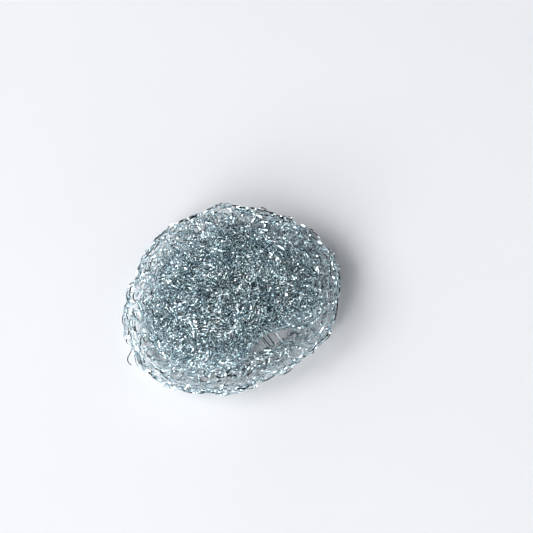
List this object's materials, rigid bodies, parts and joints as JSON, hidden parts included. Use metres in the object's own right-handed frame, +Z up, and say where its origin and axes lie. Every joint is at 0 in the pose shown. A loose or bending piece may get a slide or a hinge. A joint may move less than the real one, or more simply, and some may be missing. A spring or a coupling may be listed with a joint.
{
  "type": "steel mesh scourer",
  "caption": "Soft oval scouring pad of knitted flat steel wire, with a dense bulging middle and an open, puffed rim, for scrubbing pots and pans.",
  "frame": {"origin": "centre of the bounding box, on the surface that the pad lies on", "axes": "+Z up, out of the bulging face; +X along the oval's long axis, towards the gather"},
  "size_m": [0.0894, 0.076, 0.0283],
  "materials": {
    "steel_wire": "bright flat wire, rolled smooth and slightly scuffed"
  },
  "bodies": {
    "root": {"mesh_pad": "steel_wire"}
  },
  "joints": []
}
